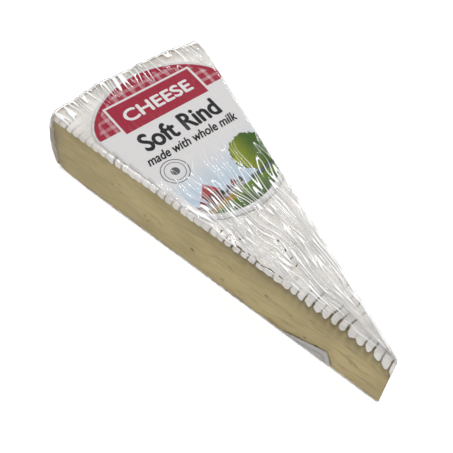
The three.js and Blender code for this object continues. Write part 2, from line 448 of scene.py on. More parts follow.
def press_cut_faces(plan, skin, points):
    """Gaps, the hollow under the rind, knife drag and holes in the cut faces. Returns the painted shade of
    the hollow under the rind and of the holes.
    """
    face = smooth(-skin.inward, -1.4, -0.2)
    gap = skin.groove * skin.gap_fade * smooth(skin.rind, -0.8, 0.6)
    under = falling(-skin.rind, 4.4) * (skin.rind < 0) * smooth(-skin.below_top, -20, -8)
    paste = smooth(-skin.rind, 0, 0.5)
    place = columns(skin.along, 0.0, points[:, 2])
    drag = 0.2 * noise_at(place, (30, 1, 1.3), 2.3) + 0.25 * noise_at(place, (24, 1, 6), 9.1) - 0.3
    holes = paste * (hole_depths(skin, points[:, 1] < 0, NEAR_HOLES, 11)
                     + hole_depths(skin, points[:, 1] > 0, [], 12))
    push = 0.32 * smooth(skin.rind, -0.25, 0.35) - 0.5 * gap
    push += paste * drag - under * (0.12 + 0.45 * skin.near_tip) - holes
    points += plan.outward(points) * (push * face)[:, None]
    # Painted shade under the overhanging rind, strongest near the tip, and in the holes.
    return np.clip(under * (0.35 + 0.65 * skin.near_tip) + holes, 0, 1)


def press_upper_rind(settings, skin, points):
    """Grooves that fade away from the cut edges, a rounded edge and an uneven bloom."""
    on_top = smooth(-skin.below_top, -2.5, -0.2)
    edge_fall = falling(skin.inward, 1.3) * (0.35 + 0.85 * skin.near_tip)
    depth = 0.1 + (0.7 + 0.25 * skin.near_tip) * falling(skin.inward, 6)
    ribs = settings.rib_depth / MM * skin.groove * depth
    sag = 0.3 * noise_at(points, 30, 4.4) + 0.1 * noise_at(points, 2.6, 6.1)
    points[:, 2] -= on_top * (edge_fall + ribs - sag + 0.3)


def roughen_rim(plan, skin, points):
    on_rim = smooth(skin.radius, plan.rim - 3.5, plan.rim - 1)
    rough = 0.25 * noise_at(points, (5, 5, 3), 7.3) + 0.14 * noise_at(points, 1.8, 0.9) - 0.15
    push_from_axis(points, skin.turn, on_rim * rough)


def shape_cheese(piece, plan, settings):
    """Turns the plain wedge into ribbed rind, dragged paste and a rough rim, all by moving vertices."""
    points = points_of(piece)
    swell_rim(plan, points)
    skin = Skin(plan, settings, points)
    edge_zone, dash_zone = crack_zones(plan, points)
    shade = press_cut_faces(plan, skin, points)
    press_upper_rind(settings, skin, points)
    roughen_rim(plan, skin, points)
    place_points(piece, points)
    give_values(piece, {
        "rind": skin.rind,
        "grooves": skin.phase,
        # How strong the painted shade is in the gaps between the rind's lobes.
        "gap": np.clip(skin.gap_fade * skin.strength, 0, 1),
        # How strong the painted shade is in the valleys between the ribs.
        "valley": falling(skin.inward, 6) * skin.strength,
        "edge_crack": edge_zone,
        "dashes": dash_zone,
        "along": skin.along,
        "inward": skin.inward,
        "shade": shade,
        "rim": skin.rim_wear(plan),
    })


# ---------------------------------------------------------------------------------------------------------
# Materials


class Value:
    """A node's output to do sums with. Each sum adds one maths node to the graph."""

    def __init__(self, graph, socket):
        self.graph = graph
        self.socket = socket

    def __add__(self, other):
        return self.graph.math("ADD", self, other)

    def __sub__(self, other):
        return self.graph.math("SUBTRACT", self, other)

    def __rsub__(self, other):
        return self.graph.math("SUBTRACT", other, self)

    def __mul__(self, other):
        return self.graph.math("MULTIPLY", self, other)

    def __truediv__(self, other):
        return self.graph.math("DIVIDE", self, other)

    def __abs__(self):
        return self.graph.math("ABSOLUTE", self)


class Graph:
    """A material or a node group under construction. Most methods add one node and return its output."""

    def __init__(self, tree):
        self.tree = tree

    def add(self, kind, **settings):
        node = self.tree.nodes.new(kind)
        for key, setting in settings.items():
            setattr(node, key, setting)
        return node

    def take(self, node, output=0):
        return Value(self, node.outputs[output])

    def feed(self, socket, given):
        if isinstance(given, Value):
            self.tree.links.new(given.socket, socket)
        elif socket.type == "RGBA" and not isinstance(given, float):
            socket.default_value = (*given, 1.0)
        else:
            socket.default_value = given

    def math(self, operation, first, second=0.0, clamp=False):
        node = self.add("ShaderNodeMath", operation=operation, use_clamp=clamp)
        self.feed(node.inputs[0], first)
        self.feed(node.inputs[1], second)
        return self.take(node)

    def ramp(self, value, low, high, start=0.0, end=1.0):
        """start below low, end above high and a smooth step between."""
        node = self.add("ShaderNodeMapRange", interpolation_type="SMOOTHSTEP")
        for socket, given in zip(node.inputs, (value, low, high, start, end)):
            self.feed(socket, given)
        return self.take(node)

    def between(self, value, low, high, soft=0.12):
        """1 between low and high, with a soft edge."""
        return self.ramp(value, low - soft, low + soft) * self.ramp(value, high - soft, high + soft, 1.0, 0.0)

    def either(self, first, second):
        return self.math("MAXIMUM", first, second)

    def mix(self, share, first, second):
        node = self.add("ShaderNodeMix", data_type="RGBA")
        self.feed(node.inputs["Factor"], share)
        self.feed(node.inputs[6], first)
        self.feed(node.inputs[7], second)
        return self.take(node, 2)

    def mix_shaders(self, share, first, second):
        node = self.add("ShaderNodeMixShader")
        for socket, given in zip(node.inputs, (share, first, second)):
            self.feed(socket, given)
        return self.take(node)

    def noise(self, place, scale, detail=2.0, distortion=0.0):
        node = self.add("ShaderNodeTexNoise")
        self.feed(node.inputs["Vector"], place)
        node.inputs["Scale"].default_value = scale
        node.inputs["Detail"].default_value = detail
        node.inputs["Distortion"].default_value = distortion
        return self.take(node, "Fac")

    def value(self, name):
        """A number kept at the piece's vertices."""
        return self.take(self.add("ShaderNodeAttribute", attribute_name=name), "Fac")

    def object_place(self):
        return self.take(self.add("ShaderNodeTexCoord"), "Object")

    def split(self, vector):
        node = self.add("ShaderNodeSeparateXYZ")
        self.feed(node.inputs[0], vector)
        return [self.take(node, axis) for axis in range(3)]

    def join(self, x, y, z=0.0):
        node = self.add("ShaderNodeCombineXYZ")
        for socket, given in zip(node.inputs, (x, y, z)):
            self.feed(socket, given)
        return self.take(node)

    def bump(self, height, distance):
        node = self.add("ShaderNodeBump")
        node.inputs["Strength"].default_value = 1.0
        node.inputs["Distance"].default_value = distance
        self.feed(node.inputs["Height"], height)
        return self.take(node)

    def principled(self, base, roughness, normal=None, **constants):
        """The Principled shader. Each constant names one of its sockets, with _ for a space."""
        shader = self.add("ShaderNodeBsdfPrincipled")
        self.feed(shader.inputs["Base Color"], base)
        self.feed(shader.inputs["Roughness"], roughness)
        if normal is not None:
            self.feed(shader.inputs["Normal"], normal)
        for key, constant in constants.items():
            self.feed(shader.inputs[key.replace("_", " ")], constant)
        return self.take(shader)


def new_material(name):
    """An empty material, and the graph to build it in."""
    material = bpy.data.materials.new(name)
    material.use_nodes = True
    material.node_tree.nodes.clear()
    return material, Graph(material.node_tree)


def show(graph, shader):
    """Makes the shader what the material shows."""
    graph.feed(graph.add("ShaderNodeOutputMaterial").inputs["Surface"], shader)


def bloom_group():
    """Node group: the mottled white bloom of the rind, greyer in its valleys by painted shade, and brown
    where asked for.
    """
    tree = bpy.data.node_groups.new("Rind bloom", "ShaderNodeTree")
    sockets = (("White", "INPUT", "Color"), ("Crust", "INPUT", "Color"), ("Brown", "INPUT", "Float"),
               ("Valley", "INPUT", "Float"), ("Color", "OUTPUT", "Color"), ("Height", "OUTPUT", "Float"))
    for name, side, kind in sockets:
        tree.interface.new_socket(name, in_out=side, socket_type="NodeSocket" + kind)
    graph = Graph(tree)
    given = graph.add("NodeGroupInput")
    white, crust_and_shade, brown, valley = (graph.take(given, name) for name in ("White", "Crust", "Brown", "Valley"))
    result = graph.add("NodeGroupOutput").inputs
    place = graph.object_place()
    patches = graph.noise(place, 70, 4)
    fuzz = graph.noise(place, 1500, 3)
    specks = graph.ramp(graph.noise(place, 420, 3, 0.4), 0.63, 0.72)
    # Worn grey patches at random, and painted shade in the valleys between the ribs.
    worn = graph.either(graph.ramp(patches, 0.4, 0.75, 0.0, 0.4), valley * graph.ramp(patches, 0.35, 0.55))
    greyed = graph.mix(worn, white, WORN_AND_SHADED_BLOOM)
    dotted = graph.mix(specks * 0.3, greyed, BLOOM_SPECKS)
    # Brown marks, and the painted shade in the gaps between the lobes, in the crust's colour.
    ragged = brown + (patches - 0.5) * 0.7
    graph.feed(result["Color"], graph.mix(graph.ramp(ragged, 0.25, 0.75), dotted, crust_and_shade))
    graph.feed(result["Height"], fuzz + patches * 1.5)
    return tree


def crack_line(graph):
    """A thin broken line that wanders along the cut edge, inside the zone for cracks."""
    run = graph.value("along") * 0.3
    wobble = (graph.noise(graph.join(run, 0.0), 0.6, 1.0) - 0.5) * 2.4
    off_line = abs(graph.value("inward") - (wobble + 0.6))
    unbroken = graph.ramp(graph.noise(graph.join(run * 1.7, 5.0), 1.0, 2), 0.42, 0.5)
    return graph.ramp(off_line, 0.36, 0.08) * unbroken * graph.value("edge_crack")


def rind_layer(graph, settings, rind):
    """The bloom's node, told where the rind is brown, where painted shade darkens the gaps between its lobes
    and where painted shade in the rib valleys makes it greyer.
    """
    bloom = graph.add("ShaderNodeGroup", node_tree=bloom_group())
    graph.feed(bloom.inputs["White"], settings.rind_colour)
    graph.feed(bloom.inputs["Crust"], settings.crust_and_gap_shade_colour)
    off_groove = graph.math("PINGPONG", graph.value("grooves"), 0.5) * (settings.rib_pitch / MM)
    # Painted shade: the gaps between the rind's lobes are darkened with the crust's brown.
    gap = graph.ramp(off_groove, 0.75, 0.15) * (graph.value("gap") * 1.5)
    dash = graph.ramp(off_groove, 0.55, 0.15) * graph.ramp(graph.value("dashes"), 0.3, 0.9)
    brown = graph.between(rind, -0.3, 0.4, 0.3) * 0.35
    for mark in (gap, dash, crack_line(graph)):
        brown = graph.either(brown, mark)
    graph.feed(bloom.inputs["Brown"], brown)
    # Painted shade in the valleys between the ribs, near the cut edges.
    graph.feed(bloom.inputs["Valley"], graph.ramp(off_groove, 1.1, 0.0) * graph.value("valley"))
    return bloom


def paste_layer(graph, settings, place):
    """The colour of the cut paste, the streaks that the knife left in it, and painted shade under the rind
    and in the holes.
    """
    along = graph.value("along")
    height = graph.split(place)[2]
    wander = graph.noise(graph.join(along * 0.06, height * 90), 1.0, 2)
    level = height * 620 + wander * 7.0
    streaks = graph.noise(graph.join(along * 0.07, level), 1.0, 4, 0.7)
    pale = tuple(min(1.0, c * 1.22) for c in settings.paste_colour)
    deep = tuple(c * share for c, share in zip(settings.paste_colour, (0.78, 0.74, 0.62)))
    paste = graph.mix(graph.ramp(graph.noise(place, 45, 3), 0.3, 0.7), settings.paste_colour, pale)
    paste = graph.mix(graph.ramp(streaks, 0.5, 0.72, 0.0, 0.45), paste, deep)
    paste = graph.mix(graph.ramp(streaks, 0.44, 0.30, 0.0, 0.5), paste, PALE_STREAK)
    off_scrape = abs(graph.noise(graph.join(along * 0.03, level * 0.42), 1.0, 0.0) - 0.5)
    scrape = graph.ramp(off_scrape, 0.03, 0.006) * graph.ramp(along, 95, 60, 0.04, 0.34)
    paste = graph.mix(scrape, paste, SCRAPE)
    # Painted shade under the overhanging rind and in the holes.
    shade = graph.math("MULTIPLY", graph.value("shade"), 0.95, clamp=True)
    return graph.mix(shade, paste, PAINTED_PASTE_SHADE), streaks


def cheese_material(settings):
    material, graph = new_material("Cheese")
    place = graph.object_place()
    rind = graph.value("rind")
    is_rind = graph.ramp(rind + (graph.noise(place, 650, 3) - 0.5) * 0.9, -0.12, 0.14)
    bloom = rind_layer(graph, settings, rind)
    paste, streaks = paste_layer(graph, settings, place)
    base = graph.mix(is_rind, paste, graph.take(bloom, "Color"))
    rim_edge = graph.value("rim") * graph.ramp(graph.noise(place, 130, 3), 0.3, 0.6, 0.45, 1.0)
    base = graph.mix(rim_edge, base, settings.rim_colour)
    relief = graph.mix(is_rind, streaks * 1.2, graph.take(bloom, "Height"))
    show(graph, graph.principled(base, is_rind * 0.42 + 0.46, graph.bump(relief, 0.0006),
                                 Subsurface_Weight=0.08, Subsurface_Scale=0.002))
    return material


# ---------------------------------------------------------------------------------------------------------
# The labels

# Places on the front label, in millimetres: along from the wheel's centre, across from the middle.
CHECK_START = 138.4
CHECK_PITCH = 4.4
THREAD_PITCH = 0.55
MARGIN = 2.5
PLAQUE_ALONG = (135.8, 151.0)
PLAQUE_ACROSS = (-18.5, 22.6)
PLAQUE_FRAME = 1.0
STAMP = (109.8, -13.7, 6.0)
TREE = (100.6, 17.6, 9.4)
HORIZON = 88.6
HOUSE_WIDTH = 3.3
WHITE_PRINT = (0.70, 0.68, 0.68)
GREY_PRINT = (0.10, 0.10, 0.11)
FOLD_ROOM = 0.5
INK_LEVEL = 0.03


def front_outline(settings):
    """The flat outline: two straight sides and two Bezier ends."""
    low, high = (np.array(corner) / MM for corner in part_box("front_label"))
    start, end = high[0], low[0]
    middle = settings.offset / MM
    narrow, wide = settings.narrow / MM / 2, settings.wide / MM / 2
    near_bend = start - settings.narrow_round / MM
    far_bend = end + settings.wide_round / MM
    half = geometry.interpolate_bezier((start, 0, 0), (start, narrow / 2, 0),
                                       ((start + near_bend) / 2, narrow, 0), (near_bend, narrow, 0), 14)
    half += geometry.interpolate_bezier((far_bend, wide, 0), ((far_bend + end) / 2, wide, 0),
                                        (end, wide / 2, 0), (end, 0, 0), 20)
    mirrored = [Vector((p.x, -p.y, 0)) for p in half[-2:0:-1]]
    return [Vector((p.x, p.y + middle, 0)) for p in half + mirrored]


def base_outline(plan, settings):
    """The rectangle, placed by the corner that shows on the near cut face."""
    out = Vector((math.sin(plan.half), -math.cos(plan.half), 0))
    edge = Vector((-math.cos(plan.half), -math.sin(plan.half), 0))
    corner = Vector((plan.centre, 0, 0)) + edge * settings.base_corner_along / MM
    corner += out * settings.base_corner_out / MM
    turn = Matrix.Rotation(-settings.base_turn, 3, "Z")
    run = turn @ Vector((-settings.base_length / MM, 0, 0))
    width = turn @ Vector((0, settings.base_width / MM, 0))
    return [corner, corner + width, corner + width + run, corner + run]


def inset_from(outline, points):
    """How far each point lies from the outline."""
    sides = zip(outline, outline[1:] + outline[:1])
    return np.min([distance_to_line(points, start.xy, end.xy) for start, end in sides], axis=0)


def fold_over(plan, points, level, lift, radius, turn):
    """Bends flat points at that level over both cut edges: downwards if turn is -1, upwards if it is 1."""
    past = -plan.inward(points) - (lift - radius)
    quarter = radius * math.pi / 2
    angle = np.clip(past, 0, quarter) / radius
    out = np.where(past > 0, radius * np.sin(angle) - past, 0)
    points += plan.outward(points) * out[:, None]
    fall = radius * (1 - np.cos(angle)) + np.clip(past - quarter, 0, None)
    points[:, 2] = level + turn * np.where(past > 0, fall, 0)


def cut_grid(bm, plan, outline, lift, radius):
    """Cuts the flat sheet by a square grid, and by lines along both cut edges where it will bend."""
    spread = [np.array(p) for p in outline]
    low, high = np.min(spread, axis=0), np.max(spread, axis=0)

    def cut(point, direction):
        everything = bm.verts[:] + bm.edges[:] + bm.faces[:]
        bmesh.ops.bisect_plane(bm, geom=everything, plane_co=point, plane_no=direction)

    for x in np.arange(low[0] + 1.7, high[0], 2.0):
        cut((x, 0, 0), (1, 0, 0))
    for y in np.arange(low[1] + 1.7, high[1], 2.0):
        cut((0, y, 0), (0, 1, 0))
    for side in (-1, 1):
        out = Vector((math.sin(plan.half), side * math.cos(plan.half), 0))
        for step in np.linspace(lift - radius, lift - radius + radius * math.pi / 2, 7):
            cut(Vector((plan.centre, 0, 0)) + out * step, out)
    bmesh.ops.triangulate(bm, faces=[f for f in bm.faces if len(f.verts) > 4])


def paper_sheet(name, plan, outline, settings, level, turn):
    """A flat sheet cut by a fine grid, folded over the cut edges and given its thickness.

    turn is -1 for a label on the upper rind and 1 for one underneath.
    """
    lift = settings.lift / MM
    radius = lift + FOLD_ROOM
    bm = bmesh.new()
    bm.faces.new([bm.verts.new(p) for p in outline])
    cut_grid(bm, plan, outline, lift, radius)
    if bm.faces[:][0].normal.z * turn > 0:
        bmesh.ops.reverse_faces(bm, faces=bm.faces)
    print_place = bm.loops.layers.uv.new("print")
    for face in bm.faces:
        for corner in face.loops:
            corner[print_place].uv = (plan.centre - corner.vert.co.x, corner.vert.co.y)
    piece = piece_from(bm, name)
    points = points_of(piece) * MM
    inset = inset_from(outline, points)
    fold_over(plan, points, level, lift, radius, turn)
    waves = 0.05 * noise_at(points, 9, 2.9) - 0.03
    points[:, 2] -= np.where(np.abs(points[:, 2] - level) < 0.01, waves * turn, 0)
    place_points(piece, points)
    give_values(piece, {"inset": inset})
    thicken(piece, settings.paper)
    return piece


def text_mesh(text, shear):
    """The letters as one flat bmesh, in Blender's own font."""
    curve = bpy.data.curves.new(text, "FONT")
    curve.body = text
    curve.extrude = 0.01
    curve.shear = shear
    writer = bpy.data.objects.new(text, curve)
    bpy.context.scene.collection.objects.link(writer)
    bpy.context.view_layer.update()
    mesh = bpy.data.meshes.new_from_object(writer.evaluated_get(bpy.context.evaluated_depsgraph_get()))
    bpy.data.objects.remove(writer)
    bm = bmesh.new()
    bm.from_mesh(mesh)
    bpy.data.meshes.remove(mesh)
    bmesh.ops.remove_doubles(bm, verts=bm.verts, dist=1e-5)
    bmesh.ops.recalc_face_normals(bm, faces=bm.faces)
    return bm


def lettering(name, plan, text, place, size, level, material, weight, shear=0.0):
    """Printed letters on the upper rind: place is the middle (along, across), size is (width, height).

    Copies of the letters, set off by the weight to the four sides, make their strokes bolder.
    """
    bm = text_mesh(text, shear)
    letters = np.array([v.co for v in bm.verts])
    low, high = letters.min(axis=0), letters.max(axis=0)
    for v in bm.verts:
        share = [(v.co[i] - (low[i] + high[i]) / 2) / (high[i] - low[i]) for i in range(3)]
        v.co = Vector((plan.centre - place[0] - share[1] * (size[1] - 2 * weight),
                       place[1] + share[0] * (size[0] - 2 * weight), level + 0.02 * share[2])) * MM
    first = bm.verts[:] + bm.edges[:] + bm.faces[:]
    for number, (dx, dy) in enumerate(((1, 0), (-1, 0), (0, 1), (0, -1)), 1):
        copied = bmesh.ops.duplicate(bm, geom=first)["geom"]
        shift = Vector((dx * weight, dy * weight, 0.002 * number)) * MM
        bmesh.ops.translate(bm, verts=[v for v in copied if isinstance(v, bmesh.types.BMVert)], vec=shift)
    piece = piece_from(bm, name)
    finish_piece(piece, material, "front_label")
    piece.data.shade_flat()


def ink_material(name, rgb):
    material, graph = new_material(name)
    speck = graph.noise(graph.object_place(), 2500, 2)
    thin_ink = tuple(min(1, c * 1.6 + 0.01) for c in rgb)
    base = graph.mix(graph.ramp(speck, 0.3, 0.8, 0.0, 0.35), rgb, thin_ink)
    show(graph, graph.principled(base, graph.ramp(speck, 0.2, 0.8, 0.5, 0.6), Specular_IOR_Level=0.2))
    return material


class Print:
    """What the drawing on the front label is worked out from: the place on it, and two kinds of noise."""

    def __init__(self, graph):
        self.graph = graph
        self.along, self.across, _ = graph.split(graph.take(graph.add("ShaderNodeUVMap", uv_map="print")))
        self.inset = graph.value("inset")
        place = graph.join(self.along, self.across)
        self.rough = graph.noise(place, 0.55, 4)
        self.fine = graph.noise(place, 2.2, 3)
        self.worn = graph.noise(place, 0.35, 3)
        ground = self.across * 0.11 + HORIZON + (self.rough - 0.5) * 1.6
        self.above_ground = self.along - ground

    def block(self, along, across):
        """1 inside a rectangle that is given by its two ends on each axis."""
        return self.graph.between(self.along, *along) * self.graph.between(self.across, *across)

    def distance(self, centre):
        x, y = self.along - centre[0], self.across - centre[1]
        return self.graph.math("SQRT", x * x + y * y)


def draw_sky(graph, label, paper):
    height = label.along - label.across * 0.09
    share = graph.ramp(height, 114, 92, 0.0, 0.9) * graph.ramp(label.rough, 0.25, 0.6, 0.7, 1.0)
    return graph.mix(share, paper, (0.42, 0.54, 0.66))


def draw_houses(graph, label, art):
    """A row of small houses: each has its own height, a white wall and a dark roof."""
    row = label.across / HOUSE_WIDTH
    number = graph.math("FLOOR", row)
    dice = graph.add("ShaderNodeTexWhiteNoise", noise_dimensions="1D")
    graph.feed(dice.inputs["W"], number)
    chance = graph.take(dice, "Value")
    off_ridge = abs(row - number - 0.5)
    eaves = chance * 2.2 + 1.8
    ridge = eaves + (0.58 - off_ridge) * 4.6
    houses = graph.between(label.across, -17.5, 5.5, 0.4)
    houses *= graph.ramp(ridge - label.above_ground, 0.0, 0.2) * graph.ramp(label.above_ground, -0.2, 0.2)
    roof = graph.mix(graph.ramp(chance, 0.45, 0.5), (0.045, 0.04, 0.045), (0.24, 0.03, 0.03))
    wall = graph.mix(graph.ramp(label.fine, 0.46, 0.54), (0.70, 0.68, 0.66), (0.04, 0.04, 0.04))
    walls = houses * graph.ramp(eaves - label.above_ground, 0.0, 0.2)
    return graph.mix(walls, graph.mix(houses, art, roof), wall)


def draw_barn(graph, label, art):
    """A low barn of upright boards under a roof with one ridge."""
    base, ridge, middle, half_width = 93.0, 98.6, -9.0, 4.6
    boards = graph.ramp(graph.math("SINE", label.across * 7.0), -0.2, 0.6)
    wall = graph.mix(boards, (0.10, 0.02, 0.02), (0.24, 0.035, 0.03))
    art = graph.mix(label.block((88.0, 93.2), (-12.6, -5.4)), art, wall)
    reach = (ridge - label.along) * (half_width / (ridge - base))
    roof = graph.ramp(reach - abs(label.across - middle), -0.1, 0.1) * graph.between(label.along, base, ridge)
    return graph.mix(roof, art, (0.36, 0.05, 0.05))


def draw_tree(graph, label, art):
    """A round tree with a lighter side, leaf clumps and a trunk."""
    art = graph.mix(label.block((89.5, 94.0), (15.4, 16.6)), art, (0.06, 0.04, 0.025))
    ragged = label.distance(TREE[:2]) + (label.rough - 0.5) * 5.0
    crown = graph.ramp(ragged, TREE[2] - 0.15, TREE[2] + 0.15, 1.0, 0.0)
    unlit = graph.ramp(label.across + label.fine * 6, 12, 24)
    leaves = graph.mix(unlit, (0.33, 0.37, 0.02), (0.05, 0.12, 0.01))
    leaves = graph.mix(graph.ramp(label.fine, 0.5, 0.62, 0.0, 0.85), leaves, (0.03, 0.075, 0.01))
    outline = graph.ramp(ragged, TREE[2] - 0.7, TREE[2] - 0.3) * 0.7
    return graph.mix(crown, art, graph.mix(outline, leaves, (0.03, 0.06, 0.015)))


def draw_hill(graph, label, art):
    """The green hill, darker towards the label's edge, with a ripe field at its left and a hedge."""
    above = label.above_ground
    grass = graph.mix(graph.ramp(above + label.rough * 4, -5, 1.5), (0.055, 0.11, 0.04), (0.12, 0.21, 0.02))
    grass = graph.mix(graph.ramp(label.fine, 0.45, 0.7, 0.0, 0.6), grass, (0.19, 0.28, 0.03))
    corn = graph.mix(graph.ramp(label.fine, 0.4, 0.6), (0.50, 0.36, 0.05), (0.22, 0.08, 0.02))
    ripe = graph.ramp(label.across, 1.0, -4.0) * graph.between(above, -2.4, 0.1)
    grass = graph.mix(ripe, grass, corn)
    art = graph.mix(graph.ramp(above, -0.15, 0.15, 1.0, 0.0), art, grass)
    hedge = graph.ramp(label.across, 7.0, 9.5) * graph.between(above, -0.5, 1.6, 0.3)
    return graph.mix(hedge * 0.85, art, (0.03, 0.045, 0.03))


def draw_check(graph, label, art, red):
    """A woven red and white check at the wide end."""
    band = graph.ramp(label.along, CHECK_START - 0.1, CHECK_START + 0.1) * graph.ramp(label.inset, 1.0, 1.25)

    def threads(place):
        wide = graph.math("SINE", place * (2 * math.pi / CHECK_PITCH))
        thin = graph.math("SINE", place * (2 * math.pi / THREAD_PITCH))
        return graph.ramp(wide, 0.3, 0.6) * graph.ramp(thin, -1.0, 1.0, 0.75, 1.0)

    light = (threads(label.along) + threads(label.across)) * 0.46
    light *= graph.ramp(label.worn, 0.3, 0.65, 0.55, 1.0) * graph.ramp(label.inset, 2.6, 3.2)
    return graph.mix(band, art, graph.mix(light, red, (0.66, 0.50, 0.52)))


def draw_plaque(graph, label, art, red):
    """A plain red rectangle in an even white frame."""
    along, across = ((low - PLAQUE_FRAME, high + PLAQUE_FRAME) for low, high in (PLAQUE_ALONG, PLAQUE_ACROSS))
    art = graph.mix(label.block(along, across), art, WHITE_PRINT)
    return graph.mix(label.block(PLAQUE_ALONG, PLAQUE_ACROSS), art, red)


def draw_stamp(graph, label, art):
    """Two thin rings round a plain dot."""
    away = label.distance(STAMP[:2])
    outer = graph.between(away, STAMP[2] - 0.4, STAMP[2], 0.08)
    rings = graph.either(outer, graph.between(away, 4.2, 4.5, 0.08))
    return graph.mix(graph.either(rings, graph.ramp(away, 2.0, 1.8)), art, GREY_PRINT)


def front_material(settings):
    """Coated paper with everything that is printed on it except the letters."""
    material, graph = new_material("Front label paper")
    label = Print(graph)
    place = graph.object_place()
    fibre = graph.noise(place, 900, 3)
    paper = graph.mix(graph.ramp(fibre, 0.3, 0.7, 0.0, 0.3), settings.paper_colour, (0.70, 0.685, 0.69))
    deep_red = tuple(c * 0.72 for c in settings.red)
    red = graph.mix(graph.ramp(fibre, 0.35, 0.75, 0.0, 0.4), settings.red, deep_red)
    picture = draw_sky(graph, label, paper)
    for draw in (draw_houses, draw_barn, draw_tree, draw_hill):
        picture = draw(graph, label, picture)
    inside = graph.ramp(label.inset, MARGIN, MARGIN + 0.2) * graph.ramp(label.along, 122, 120)
    art = graph.mix(inside, paper, picture)
    art = draw_check(graph, label, art, red)
    art = draw_plaque(graph, label, art, red)
    art = draw_stamp(graph, label, art)
    art = graph.mix(graph.between(label.inset, 0.9, 1.15, 0.08) * 0.35, art, (0.40, 0.39, 0.40))
    normal = graph.bump(graph.noise(place, 260, 3), 0.0001)
    roughness = graph.ramp(fibre, 0.3, 0.7, 0.5, 0.6)
    show(graph, graph.principled(art, roughness, normal, Specular_IOR_Level=0.25))
    return material


def base_material():
    """Plain paper with two printed rules round its edge."""
    material, graph = new_material("Base label paper")
    inset = graph.value("inset")
    fibre = graph.noise(graph.object_place(), 700, 4)
    paper = graph.mix(graph.ramp(fibre, 0.3, 0.7), (0.62, 0.60, 0.58), (0.52, 0.50, 0.48))
    rules = graph.either(graph.between(inset, 2.6, 2.9, 0.08), graph.between(inset, 3.5, 3.7, 0.08))
    base = graph.mix(rules * 0.8, paper, (0.12, 0.12, 0.14))
    show(graph, graph.principled(base, graph.ramp(fibre, 0.3, 0.7, 0.55, 0.7), graph.bump(fibre, 0.00006)))
    return material


# ---------------------------------------------------------------------------------------------------------
# The film


def fan_across(radius, turn):
    """The place across the fan of wrinkles that spreads from beyond the tip."""
    return turn * (radius + 70) * 0.62


def wrinkle_film(piece, plan, settings):
    """Long wrinkles fanning from the tip, pleats over the rim, a seam underneath, all by moving vertices."""
    points = points_of(piece)
    swell_rim(plan, points)
    normals = normals_of(piece)
    along = plan.along(points)
    radius, turn = plan.polar(points)
    across = fan_across(radius, turn)
    up, down = smooth(normals[:, 2], 0.5, 0.9), smooth(-normals[:, 2], 0.5, 0.9)
    at_rim = smooth(radius, plan.rim - 16, plan.rim - 5)
    faces = (1 - up) * (1 - down) * (1 - at_rim)
    off_label = 1 - 0.66 * smooth(radius, 84, 100) - 0.26 * smooth(radius, 104, 120)

    fan = columns(radius, across, points[:, 2])
    lengthwise = ridges_at(fan, (34, 2.4, 60), 3, 1.3) + 0.6 * ridges_at(fan, (20, 1.5, 60), 2, 6.6)
    pleats = ridges_at(columns(radius / 3, turn * radius, points[:, 2] / 4), (3, 2.6, 3), 2, 4.8)
    crumple = ridges_at(points, (7, 4, 5), 2, 8.8)
    lift = up * (1 - at_rim) * off_label * 0.62 * lengthwise
    lift += at_rim * (0.55 * pleats + 0.8 * crumple)
    lift += faces * 0.3 * ridges_at(columns(along, 0.0, points[:, 2]), (45, 1, 5), 4, 3.7)
    points += normals * (lift * settings.wrinkle / MM)[:, None]
    press_seam(points, down, settings)
    place_points(piece, points)

    on_cut = smooth((normals * plan.outward(points)).sum(axis=1), 0.8, 0.95)
    level_top = smooth(normals[:, 2], 0.25, 0.7)
    # How creased the film is, for the painted highlight lines and the bump's ridges.
    creased = up * (1 - at_rim) * off_label + at_rim * (0.12 + 0.78 * level_top) + 0.12 * faces
    give_values(piece, {
        "creased": np.clip(creased, 0, 1) * (1 - 0.88 * on_cut),
        "fan_along": radius,
        "fan_across": across,
    })
    thicken(piece, settings.thickness)


def press_seam(points, down, settings):
    """Doubles the film along a wandering line underneath, and keeps all of it clear of the floor."""
    seam_line = 1.2 * noise_at(columns(points[:, 0]), (25, 1, 1), 2.2)
    off_seam = np.abs(points[:, 1] - seam_line) - settings.seam_width / MM / 2
    seam = 0.03 - 0.12 * smooth(-off_seam, -0.4, 0.4)
    points[:, 2] = np.maximum(points[:, 2] + np.where(down > 0.5, seam, 0), 0.02)


